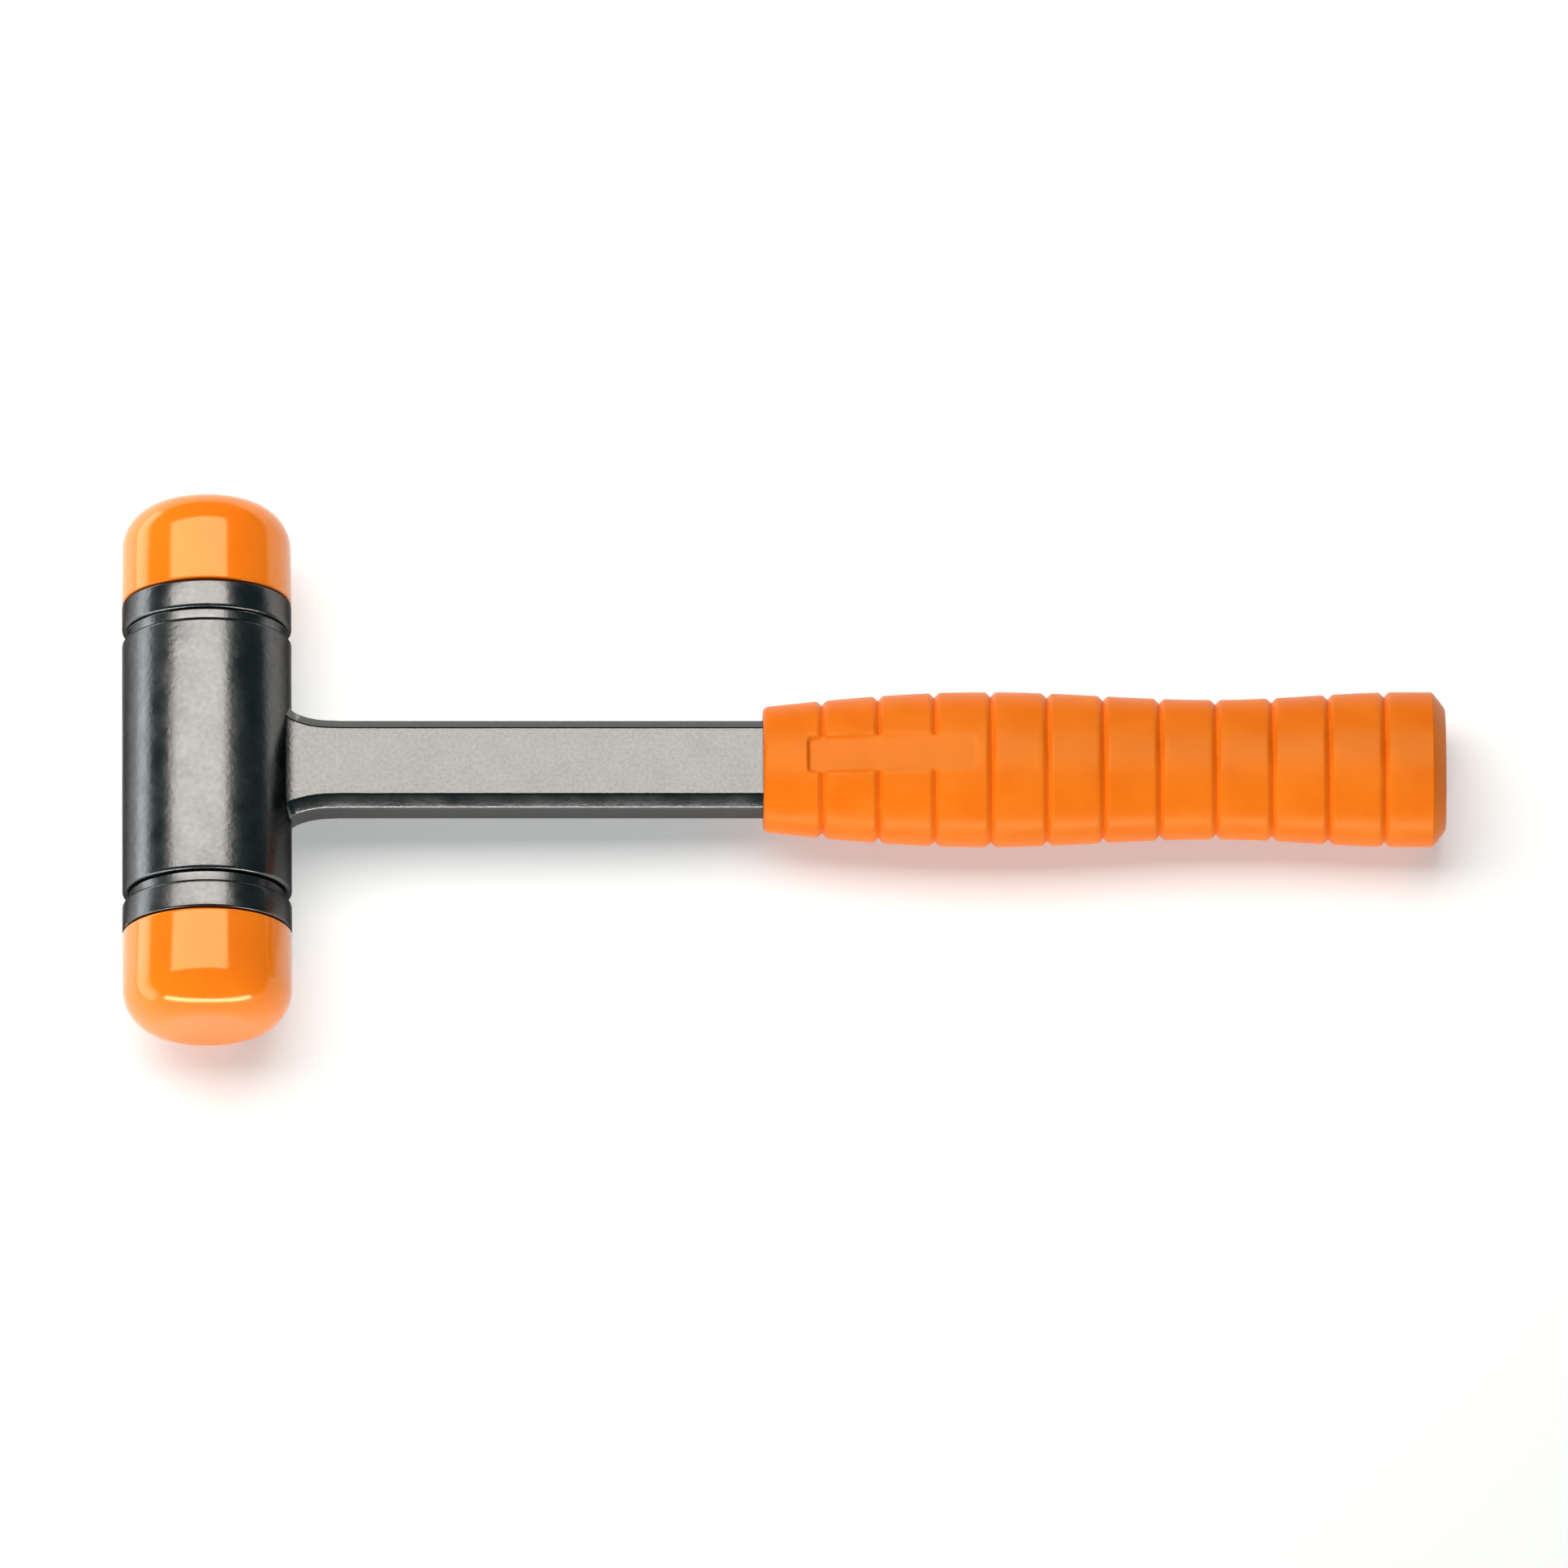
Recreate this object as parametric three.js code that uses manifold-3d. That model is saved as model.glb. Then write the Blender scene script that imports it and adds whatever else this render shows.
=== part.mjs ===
// Dead blow hammer: a steel head filled with loose shot, a screw-in plastic face at each end,
// a tubular steel shaft and a moulded grip. Millimetres, +Z up.
//
// Every piece is drawn about the centre of the head, with the head along Y and the handle along +X.
// The finished group is then moved so that the middle of its base is the origin.

import * as THREE from "three";
import { mergeVertices } from "three/addons/utils/BufferGeometryUtils.js";
import Module from "manifold-3d";

const wasm = await Module();
wasm.setup();

// Clearance left between any two separate pieces
const GAP = 0.3;

// Steel head: a sleeve with a plug pressed into each end, and a groove where the two meet
const HEAD_DIAMETER = 35;
const SLEEVE_LENGTH = 54.8;
const SLEEVE_WALL = 4;
const GROOVE_WIDTH = 2.2;
const GROOVE_DEPTH = 1.2;
const RIM_LENGTH = 6;
const SPIGOT_LENGTH = 5;
const STEEL_CHAMFER = 0.4;

// Plastic faces
const FACE_LENGTH = 20.9;
const FACE_EDGE_RADIUS = 9;

// Studs that hold the faces, with a rounded right-hand thread
const THREAD_DIAMETER = 14;
const THREAD_PITCH = 2.5;
const THREAD_DEPTH = 1.2;
const THREAD_LENGTH = 10.5;
const THREAD_END_ROOM = 0.8;
const STUD_CHAMFER = 0.8;
const ANCHOR_ACROSS_FLATS = 16;
const ANCHOR_LENGTH = 11;

// Washers trapped behind the faces
const WASHER_DIAMETER = 24;
const WASHER_THICKNESS = 1.6;

// Shot: slices of balls along the bore, with one ball in the middle of each slice and the rest round it
const SHOT_SLICES = 4;
const SHOT_ROUND_MIDDLE = 5;

// Shaft: rectangular tube let into a pocket in the sleeve
const SHAFT_WIDTH = 19.1;
const SHAFT_THICKNESS = 11.4;
const SHAFT_CORNER_RADIUS = 2.8;
const SHAFT_WALL = 1.8;
const POCKET_DEPTH = 2.3;

// Weld that flares from the shaft onto the head
const WELD_LENGTH = 9.3;
const WELD_THICKNESS_AT_HEAD = 1.4;
const WELD_THICKNESS_AT_END = 0.6;

// Grip: where it starts along the handle, and its width at four places along it
const GRIP_START = 114.7;
const GRIP_LENGTH = 140.9;
const GRIP_FRONT_WIDTH = 26.6;
const GRIP_SWELL_WIDTH = 32.8;
const GRIP_WAIST_WIDTH = 29.6;
const GRIP_BUTT_WIDTH = 32.8;
const GRIP_SWELL_AT = 46;
const GRIP_WAIST_AT = 93;
const GRIP_FULL_BUTT_AT = 133;
const GRIP_FLATTENING = 8.4; // how much thinner than wide the oval is
const GRIP_FRONT_CHAMFER = 0.8;
const GRIP_BUTT_CHAMFER_LENGTH = 2.8;
const GRIP_BUTT_CHAMFER_DEPTH = 3.5;
const GRIP_BUTT_WALL = 8;

// Grooves round the grip
const GRIP_GROOVES = 11;
const GRIP_FIRST_LAND = 12.2; // from the front end to the first groove
const GRIP_LAST_LAND = 12.6; // from the last groove to the butt
const GRIP_GROOVE_WIDTH = 2;
const GRIP_GROOVE_DEPTH = 1;

// Bare label recess on top of the grip
const LABEL_START = 8.8;
const LABEL_LENGTH = 35.6;
const LABEL_WIDTH = 8.7;
const LABEL_DEPTH = 1.1;
const LABEL_CORNER_RADIUS = 1.5;

// Fineness of the round shapes
const HEAD_SIDES = 48;
const FACE_EDGE_STEPS = 6;
const THREAD_SIDES = 20;
const RINGS_PER_PITCH = 6;
const GRIP_SIDES = 32;
const CORNER_STEPS = 4;
const WELD_STEPS = 5;

// Positions worked out from the sizes
const HEAD_RADIUS = HEAD_DIAMETER / 2;
const BORE_RADIUS = HEAD_RADIUS - SLEEVE_WALL;
const SLEEVE_END = SLEEVE_LENGTH / 2;
const PLUG_FACE = SLEEVE_END + GROOVE_WIDTH + RIM_LENGTH;
const GRIP_END = GRIP_START + GRIP_LENGTH;
const SHAFT_START = HEAD_RADIUS - POCKET_DEPTH + GAP;
const SHAFT_END = GRIP_END - GRIP_BUTT_WALL - GAP;
const GRIP_GROOVE_PITCH = (GRIP_LENGTH - GRIP_FIRST_LAND - GRIP_LAST_LAND) / (GRIP_GROOVES - 1);

// Three balls lie abreast in the bore
const SHOT_SPACING = 2 * (BORE_RADIUS - GAP / 2) / 3;
const SHOT_DIAMETER = SHOT_SPACING - GAP;

// Along the head's axis, outwards from the outer side of a plug
const FACE_BACK = GAP;
const WASHER_SEAT = FACE_BACK + WASHER_THICKNESS + GAP;
const FACE_TIP = FACE_BACK + FACE_LENGTH;

// Finishes: colour, roughness, metalness
const GUNMETAL = { color: 0x585c5e, roughness: 0.4, metalness: 0.9 };
const BRIGHT_STEEL = { color: 0xb8bcc0, roughness: 0.35, metalness: 1 };
const GLOSSY_ORANGE = { color: 0xf57a0c, roughness: 0.25, metalness: 0 };
const SATIN_ORANGE = { color: 0xf26a12, roughness: 0.5, metalness: 0 };

// Solids

function toSolid(geometry) {
  const bare = geometry.clone();
  bare.deleteAttribute("normal");
  bare.deleteAttribute("uv");
  const merged = mergeVertices(bare, 1e-4);
  return new wasm.Manifold(
    new wasm.Mesh({
      numProp: 3,
      vertProperties: new Float32Array(merged.attributes.position.array),
      triVerts: new Uint32Array(merged.index.array),
    }),
  );
}

function toGeometry(solid) {
  const mesh = solid.getMesh();
  const geometry = new THREE.BufferGeometry();
  geometry.setAttribute("position", new THREE.BufferAttribute(mesh.vertProperties, 3));
  geometry.setIndex(new THREE.BufferAttribute(mesh.triVerts, 1));
  geometry.computeVertexNormals();
  return geometry;
}

// The first geometry with the others cut out of it
function cut(geometry, ...tools) {
  const solids = tools.map(toSolid);
  return toGeometry(solids.reduce((left, tool) => left.subtract(tool), toSolid(geometry)));
}

function join(first, second) {
  return toGeometry(toSolid(first).add(toSolid(second)));
}

// A profile of [radius, distance along the axis] pairs, turned about Y
function turned(profile, sides) {
  const points = profile.map(([radius, along]) => new THREE.Vector2(radius, along));
  return new THREE.LatheGeometry(points, sides);
}

function rod(radius, from, to, sides) {
  return turned([[0, from], [radius, from], [radius, to], [0, to]], sides);
}

function roundedRectangle(width, height, radius) {
  const x = width / 2 - radius;
  const y = height / 2 - radius;
  const shape = new THREE.Shape();
  shape.absarc(x, y, radius, 0, Math.PI / 2);
  shape.absarc(-x, y, radius, Math.PI / 2, Math.PI);
  shape.absarc(-x, -y, radius, Math.PI, 1.5 * Math.PI);
  shape.absarc(x, -y, radius, 1.5 * Math.PI, 2 * Math.PI);
  shape.closePath();
  return shape;
}

// A section drawn across the handle (width along Y, thickness along Z), run along it from one X to another
function alongHandle(shape, from, to, steps = 1) {
  const options = { depth: to - from, steps, bevelEnabled: false, curveSegments: CORNER_STEPS };
  const across = new THREE.Matrix4().makeBasis(
    new THREE.Vector3(0, 1, 0),
    new THREE.Vector3(0, 0, 1),
    new THREE.Vector3(1, 0, 0),
  );
  return new THREE.ExtrudeGeometry(shape, options).applyMatrix4(across).translate(from, 0, 0);
}

// The shaft's outside, made larger all round
function shaftSection(extra) {
  return roundedRectangle(
    SHAFT_WIDTH + 2 * extra,
    SHAFT_THICKNESS + 2 * extra,
    SHAFT_CORNER_RADIUS + extra,
  );
}

// Moves each vertex of a geometry to the place the function gives for it
function reshape(geometry, place) {
  const position = geometry.attributes.position;
  const vertex = new THREE.Vector3();
  for (let i = 0; i < position.count; i++) {
    vertex.fromBufferAttribute(position, i);
    place(vertex);
    position.setXYZ(i, vertex.x, vertex.y, vertex.z);
  }
  return geometry;
}

// Head

function sleeve() {
  const outer = HEAD_RADIUS;
  const tube = turned([
    [BORE_RADIUS, -SLEEVE_END],
    [outer - STEEL_CHAMFER, -SLEEVE_END],
    [outer, -SLEEVE_END + STEEL_CHAMFER],
    [outer, SLEEVE_END - STEEL_CHAMFER],
    [outer - STEEL_CHAMFER, SLEEVE_END],
    [BORE_RADIUS, SLEEVE_END],
    [BORE_RADIUS, -SLEEVE_END],
  ], HEAD_SIDES);
  const pocket = alongHandle(shaftSection(GAP), HEAD_RADIUS - POCKET_DEPTH, HEAD_DIAMETER);
  return cut(tube, pocket);
}

// A rod whose wall carries the thread. Its phase depends only on the place along the axis,
// so that a stud and the hole it screws into are in mesh.
function threadedRod(from, to, chamfer, growth) {
  const mean = (THREAD_DIAMETER - THREAD_DEPTH) / 2 + growth;
  const threadFrom = from + chamfer;
  const rings = Math.ceil((to - threadFrom) / THREAD_PITCH * RINGS_PER_PITCH);
  const profile = [[0, from]];
  if (chamfer > 0) {
    profile.push([mean - chamfer, from]);
  }
  for (let i = 0; i <= rings; i++) {
    profile.push([mean, threadFrom + (to - threadFrom) * i / rings]);
  }
  profile.push([0, to]);
  return reshape(turned(profile, THREAD_SIDES), (vertex) => {
    const radius = Math.hypot(vertex.x, vertex.z);
    const onChamfer = chamfer > 0 && vertex.y < from + chamfer / 2;
    if (onChamfer || radius < mean / 2) {
      return;
    }
    const turn = Math.atan2(vertex.x, vertex.z);
    const wave = Math.cos(2 * Math.PI * vertex.y / THREAD_PITCH - turn);
    const swell = (mean + wave * THREAD_DEPTH / 2) / radius;
    vertex.x *= swell;
    vertex.z *= swell;
  });
}

// The plug at the rear end of the sleeve: rim, groove collar and spigot, with a threaded blind hole
function plug() {
  const outer = HEAD_RADIUS;
  const rimInner = -RIM_LENGTH;
  const collarInner = rimInner - GROOVE_WIDTH + GAP;
  const spigotInner = rimInner - GROOVE_WIDTH - SPIGOT_LENGTH;
  const collar = outer - GROOVE_DEPTH;
  const spigot = BORE_RADIUS - GAP;
  const blank = turned([
    [0, spigotInner],
    [spigot - STEEL_CHAMFER, spigotInner],
    [spigot, spigotInner + STEEL_CHAMFER],
    [spigot, collarInner],
    [collar, collarInner],
    [collar, rimInner],
    [outer - STEEL_CHAMFER, rimInner],
    [outer, rimInner + STEEL_CHAMFER],
    [outer, 0],
    [0, 0],
  ], HEAD_SIDES);
  return cut(blank, threadedRod(-THREAD_LENGTH - THREAD_END_ROOM, GAP, 0, GAP));
}

// Faces and what holds them, drawn outwards from the outer side of a plug

function hexagon(acrossFlats, from, to) {
  return rod(acrossFlats / Math.sqrt(3), from, to, 6);
}

function face() {
  const edgeCentre = FACE_TIP - FACE_EDGE_RADIUS;
  const profile = [[0, FACE_BACK], [HEAD_RADIUS, FACE_BACK]];
  for (let i = 0; i <= FACE_EDGE_STEPS; i++) {
    const angle = Math.PI / 2 * i / FACE_EDGE_STEPS;
    profile.push([
      HEAD_RADIUS - FACE_EDGE_RADIUS * (1 - Math.cos(angle)),
      edgeCentre + FACE_EDGE_RADIUS * Math.sin(angle),
    ]);
  }
  profile.push([0, FACE_TIP]);
  const washerRecess = rod(WASHER_DIAMETER / 2 + GAP, 0, WASHER_SEAT, HEAD_SIDES);
  const anchorPocket = hexagon(ANCHOR_ACROSS_FLATS + 2 * GAP, 0, WASHER_SEAT + ANCHOR_LENGTH + GAP);
  return cut(turned(profile, HEAD_SIDES), washerRecess, anchorPocket);
}

function stud() {
  const anchor = hexagon(ANCHOR_ACROSS_FLATS, WASHER_SEAT, WASHER_SEAT + ANCHOR_LENGTH);
  const screw = threadedRod(-THREAD_LENGTH, WASHER_SEAT + GAP, STUD_CHAMFER, 0);
  return join(anchor, screw);
}

function washer() {
  const inner = THREAD_DIAMETER / 2 + GAP;
  const outer = WASHER_DIAMETER / 2;
  const top = FACE_BACK + WASHER_THICKNESS;
  return turned(
    [[inner, FACE_BACK], [outer, FACE_BACK], [outer, top], [inner, top], [inner, FACE_BACK]],
    HEAD_SIDES,
  );
}

// Shot

// Centres of the balls in one slice across the bore, as [x, z] pairs. The place at the top stays empty.
function shotSlice() {
  const centres = [[0, 0]];
  for (let i = 0; i < SHOT_ROUND_MIDDLE; i++) {
    const angle = (i - (SHOT_ROUND_MIDDLE - 1) / 2) * Math.PI / 3 - Math.PI / 2;
    centres.push([SHOT_SPACING * Math.cos(angle), SHOT_SPACING * Math.sin(angle)]);
  }
  return centres;
}

function shotBalls() {
  const balls = [];
  for (let slice = 0; slice < SHOT_SLICES; slice++) {
    const along = (slice - (SHOT_SLICES - 1) / 2) * SHOT_SPACING;
    for (const [x, z] of shotSlice()) {
      balls.push(new THREE.IcosahedronGeometry(SHOT_DIAMETER / 2, 1).translate(x, along, z));
    }
  }
  return balls;
}

// Handle

function shaft() {
  const section = shaftSection(0);
  section.holes.push(roundedRectangle(
    SHAFT_WIDTH - 2 * SHAFT_WALL,
    SHAFT_THICKNESS - 2 * SHAFT_WALL,
    SHAFT_CORNER_RADIUS - SHAFT_WALL,
  ));
  return alongHandle(section, SHAFT_START, SHAFT_END);
}

// A ring round the shaft that swells towards the head and fits its curve
function weld() {
  const end = HEAD_RADIUS + WELD_LENGTH;
  const from = HEAD_RADIUS - POCKET_DEPTH;
  const section = shaftSection(GAP + WELD_THICKNESS_AT_END);
  const halfWidth = SHAFT_WIDTH / 2 + GAP + WELD_THICKNESS_AT_END;
  const halfThickness = SHAFT_THICKNESS / 2 + GAP + WELD_THICKNESS_AT_END;
  const flare = reshape(alongHandle(section, from, end, WELD_STEPS), (vertex) => {
    const nearness = Math.min(1, (end - vertex.x) / WELD_LENGTH);
    const extra = (WELD_THICKNESS_AT_HEAD - WELD_THICKNESS_AT_END) * nearness * nearness;
    vertex.y *= 1 + extra / halfWidth;
    vertex.z *= 1 + extra / halfThickness;
  });
  const head = rod(HEAD_RADIUS + GAP, -HEAD_DIAMETER, HEAD_DIAMETER, HEAD_SIDES);
  return cut(flare, alongHandle(shaftSection(GAP), 0, end + GAP), head);
}

// Half the grip's width at a distance from its front end, leaving out the grooves
function gripHalfWidth(along) {
  const ease = (from, to, share) => from + (to - from) * (1 - Math.cos(Math.PI * share)) / 2;
  const front = GRIP_FRONT_WIDTH / 2;
  const swell = GRIP_SWELL_WIDTH / 2;
  const waist = GRIP_WAIST_WIDTH / 2;
  const butt = GRIP_BUTT_WIDTH / 2;
  if (along < GRIP_SWELL_AT) {
    return front + (swell - front) * Math.sin(Math.PI / 2 * along / GRIP_SWELL_AT);
  }
  if (along < GRIP_WAIST_AT) {
    return ease(swell, waist, (along - GRIP_SWELL_AT) / (GRIP_WAIST_AT - GRIP_SWELL_AT));
  }
  const share = (along - GRIP_WAIST_AT) / (GRIP_FULL_BUTT_AT - GRIP_WAIST_AT);
  return ease(waist, butt, Math.min(1, share));
}

function gripHalfThickness(along) {
  return gripHalfWidth(along) - GRIP_FLATTENING / 2;
}

// The grip's side profile: a chamfer, then a land and a V groove in turn, then the chamfered butt
function gripProfile() {
  const front = gripHalfWidth(0);
  const butt = gripHalfWidth(GRIP_LENGTH);
  const profile = [[0, 0], [front - GRIP_FRONT_CHAMFER, 0], [front, GRIP_FRONT_CHAMFER]];
  const onLand = (along) => profile.push([gripHalfWidth(along), along]);
  for (let i = 0; i < GRIP_GROOVES; i++) {
    const groove = GRIP_FIRST_LAND + i * GRIP_GROOVE_PITCH;
    onLand(groove - GRIP_GROOVE_PITCH / 2);
    onLand(groove - GRIP_GROOVE_WIDTH / 2);
    profile.push([gripHalfWidth(groove) - GRIP_GROOVE_DEPTH, groove]);
    onLand(groove + GRIP_GROOVE_WIDTH / 2);
  }
  onLand(GRIP_LENGTH - GRIP_BUTT_CHAMFER_LENGTH);
  profile.push([butt - GRIP_BUTT_CHAMFER_DEPTH, GRIP_LENGTH], [0, GRIP_LENGTH]);
  return profile;
}

// The block that cuts the label recess: its floor follows the slope of the grip's top
function labelCutter() {
  const end = LABEL_START + LABEL_LENGTH;
  const shape = roundedRectangle(LABEL_LENGTH, LABEL_WIDTH, LABEL_CORNER_RADIUS);
  const height = GRIP_SWELL_WIDTH / 2;
  const options = { depth: height, bevelEnabled: false, curveSegments: CORNER_STEPS };
  const block = new THREE.ExtrudeGeometry(shape, options);
  block.translate(LABEL_START + LABEL_LENGTH / 2, 0, 0);
  const floorAtStart = gripHalfThickness(LABEL_START) - LABEL_DEPTH;
  const floorAtEnd = gripHalfThickness(end) - LABEL_DEPTH;
  return reshape(block, (vertex) => {
    const share = (vertex.x - LABEL_START) / LABEL_LENGTH;
    vertex.z += floorAtStart + (floorAtEnd - floorAtStart) * share;
  }).translate(GRIP_START, 0, 0);
}

function grip() {
  const round = turned(gripProfile(), GRIP_SIDES).rotateZ(-Math.PI / 2);
  const oval = reshape(round, (vertex) => {
    vertex.z *= gripHalfThickness(vertex.x) / gripHalfWidth(vertex.x);
  }).translate(GRIP_START, 0, 0);
  const socket = alongHandle(shaftSection(GAP), GRIP_START - GAP, SHAFT_END + GAP);
  return cut(oval, socket, labelCutter());
}

// Assembly

const hammer = new THREE.Group();
hammer.name = "dead_blow_hammer";

function add(name, geometry, finish) {
  const mesh = new THREE.Mesh(geometry, new THREE.MeshStandardMaterial(finish));
  mesh.name = name;
  hammer.add(mesh);
}

// The rear piece is put at the outer side of its plug, and the front one is the same piece turned half round
function addAtBothEnds(name, make, finish) {
  add("rear_" + name, make().translate(0, PLUG_FACE, 0), finish);
  add("front_" + name, make().translate(0, PLUG_FACE, 0).rotateZ(Math.PI), finish);
}

add("head_sleeve", sleeve(), GUNMETAL);
addAtBothEnds("plug", plug, GUNMETAL);
addAtBothEnds("face", face, GLOSSY_ORANGE);
addAtBothEnds("stud", stud, BRIGHT_STEEL);
addAtBothEnds("washer", washer, BRIGHT_STEEL);
shotBalls().forEach((ball, i) => {
  add("shot_" + String(i + 1).padStart(2, "0"), ball, BRIGHT_STEEL);
});
add("shaft", shaft(), GUNMETAL);
add("neck_weld", weld(), GUNMETAL);
add("grip", grip(), SATIN_ORANGE);

hammer.children.forEach((mesh) => {
  mesh.geometry.translate(-(GRIP_END - HEAD_RADIUS) / 2, 0, HEAD_RADIUS);
});

export default hammer;
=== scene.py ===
# Dead blow hammer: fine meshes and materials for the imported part, with a studio floor, lights and a camera.
# Metres, +Z up. The head lies along Y at the -X end of the part, and the handle runs along +X.

import math

import bmesh
import bpy
from mathutils import Matrix, Vector, noise


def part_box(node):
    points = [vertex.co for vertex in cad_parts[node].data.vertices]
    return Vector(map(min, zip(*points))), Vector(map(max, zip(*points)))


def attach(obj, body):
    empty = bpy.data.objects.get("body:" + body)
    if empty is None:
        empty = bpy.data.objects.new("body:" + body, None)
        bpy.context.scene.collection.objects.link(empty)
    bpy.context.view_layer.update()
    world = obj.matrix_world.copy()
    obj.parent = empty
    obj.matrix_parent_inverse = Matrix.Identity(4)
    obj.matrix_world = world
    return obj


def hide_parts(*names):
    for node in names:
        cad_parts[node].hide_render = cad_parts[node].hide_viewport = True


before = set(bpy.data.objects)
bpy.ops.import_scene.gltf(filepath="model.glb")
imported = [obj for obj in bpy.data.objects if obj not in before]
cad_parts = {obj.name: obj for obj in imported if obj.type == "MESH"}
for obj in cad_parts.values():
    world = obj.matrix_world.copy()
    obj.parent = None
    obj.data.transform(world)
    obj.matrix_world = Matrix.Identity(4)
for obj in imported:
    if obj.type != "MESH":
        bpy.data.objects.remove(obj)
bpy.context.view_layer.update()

MM = 0.001

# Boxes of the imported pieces, from which the fine ones take their places
sleeve_low, sleeve_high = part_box("head_sleeve")
plug_low, plug_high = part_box("rear_plug")
face_low, face_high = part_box("rear_face")
washer_low, washer_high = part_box("rear_washer")
stud_low, stud_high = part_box("rear_stud")
shaft_low, shaft_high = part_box("shaft")
weld_low, weld_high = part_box("neck_weld")
grip_low, grip_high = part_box("grip")

# Clearance between two separate pieces
GAP = 0.3 * MM

# Steel head
HEAD = (sleeve_low + sleeve_high) / 2
HEAD_RADIUS = (sleeve_high.z - sleeve_low.z) / 2
SLEEVE_WALL = 4 * MM
BORE_RADIUS = HEAD_RADIUS - SLEEVE_WALL
SLEEVE_END = sleeve_high.y
GROOVE_WIDTH = 2.2 * MM
GROOVE_DEPTH = 1.2 * MM
GROOVE_EDGE_RADIUS = 0.8 * MM
STEEL_EDGE_RADIUS = 0.45 * MM

# Plastic faces
FACE_EDGE_RADIUS = 9 * MM
FACE_BACK_EDGE_RADIUS = 0.5 * MM

# Thread of the studs, and the six-sided anchor inside each face
THREAD_DIAMETER = 14 * MM
THREAD_PITCH = 2.5 * MM
THREAD_DEPTH = 1.2 * MM
THREAD_END_ROOM = 0.8 * MM
STUD_CHAMFER = 0.8 * MM
ANCHOR_ACROSS_FLATS = 16 * MM
WASHER_EDGE_RADIUS = 0.3 * MM

# Shot: how far a ball's surface strays from round
SHOT_ROUGHNESS = 0.06 * MM

# Shaft, with soft-edged chamfers, and narrow bands at its ends that keep the ends' wear off its long sides
SHAFT_CHAMFER = 2.3 * MM
SHAFT_EDGE_RADIUS = 0.9 * MM
SHAFT_WALL = 1.8 * MM
SHAFT_END_BAND = 0.4 * MM

# Neck: its flare across the handle and up from it, its seat in the steel, and how far it stands off the shaft
NECK_FLARE = 2.2 * MM
NECK_TOE = 0.8 * MM
NECK_RISE = 0.8 * MM
NECK_SEAT = 0.3 * MM
NECK_LIP = 0.05 * MM
NECK_LENGTH = weld_high.x - weld_low.x

# Grip: its length, and its width at four places along it
GRIP_LENGTH = grip_high.x - grip_low.x
GRIP_FRONT_WIDTH = 26.6 * MM
GRIP_SWELL_WIDTH = 32.8 * MM
GRIP_WAIST_WIDTH = 29.6 * MM
GRIP_BUTT_WIDTH = 32.8 * MM
GRIP_SWELL_AT = 46 * MM
GRIP_WAIST_AT = 93 * MM
GRIP_FULL_BUTT_AT = 133 * MM
GRIP_FLATTENING = 8.4 * MM
GRIP_FRONT_RADIUS = 1.2 * MM
GRIP_BUTT_CHAMFER_LENGTH = 2.8 * MM
GRIP_BUTT_CHAMFER_DEPTH = 3.5 * MM
GRIP_SOCKET_DEPTH = 4 * MM

# Grooves round the grip
GRIP_GROOVES = 11
GRIP_FIRST_LAND = 12.2 * MM
GRIP_LAST_LAND = 12.6 * MM
GRIP_GROOVE_WIDTH = 2.6 * MM
GRIP_GROOVE_DEPTH = 1 * MM
GRIP_GROOVE_PITCH = (GRIP_LENGTH - GRIP_FIRST_LAND - GRIP_LAST_LAND) / (GRIP_GROOVES - 1)
GRIP_GROOVE_PLACES = [GRIP_FIRST_LAND + i * GRIP_GROOVE_PITCH for i in range(GRIP_GROOVES)]

# Bare label recess on top of the grip
LABEL_START = 8.8 * MM
LABEL_LENGTH = 35.6 * MM
LABEL_WIDTH = 8.7 * MM
LABEL_DEPTH = 1.1 * MM
LABEL_DEPTH_AT_END = 0.3 * MM
LABEL_CORNER_RADIUS = 1.5 * MM
LABEL_WALL = 0.9 * MM

# Fineness of the round shapes, and the bend beyond which an edge stays sharp
CREASE_ANGLE = math.radians(35)
HEAD_SIDES = 192
STUD_SIDES = 96
RINGS_PER_PITCH = 14
ARC_STEP = 0.45 * MM
SHOT_SIDES = 32
GRIP_STEP = 1.2 * MM
GRIP_BEND_STEPS = 8
GRIP_LEAST_STEP = 0.04 * MM
GRIP_TURN_STEPS = 200
NECK_STEPS = 24

# Bends at which the steel begins to be worn bare and is fully so, and the same for the shade painted darker
# into the grip's grooves
WEAR_START = 0.53
WEAR_FULL = 0.62
GROOVE_PAINTED_SHADE_START = 0.48
GROOVE_PAINTED_SHADE_FULL = 0.4
BARE_STEEL = (0.36, 0.355, 0.34)
# Darker orange painted into the hollows of the grip's grooves as shade
GROOVE_PAINTED_SHADE_ORANGE = (0.5, 0.09, 0.012)

# Floor: how much light it throws back, and how much it glows where it is seen
FLOOR_WHITENESS = 0.78
FLOOR_GLOW = 0.34
FLOOR_REACH = 20

# Camera: a long lens, looking down at the hammer from its front, with the handle level in the picture
VIEW_AZIMUTH = math.radians(-3.5)
VIEW_ELEVATION = math.radians(71)
VIEW_WIDTH = 323.6 * MM
VIEW_DISTANCE = 8
VIEW_AIM = Vector((0.03 * MM, -3.13 * MM, 17.5 * MM))
SENSOR_WIDTH = 36


# Shapes

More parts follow.
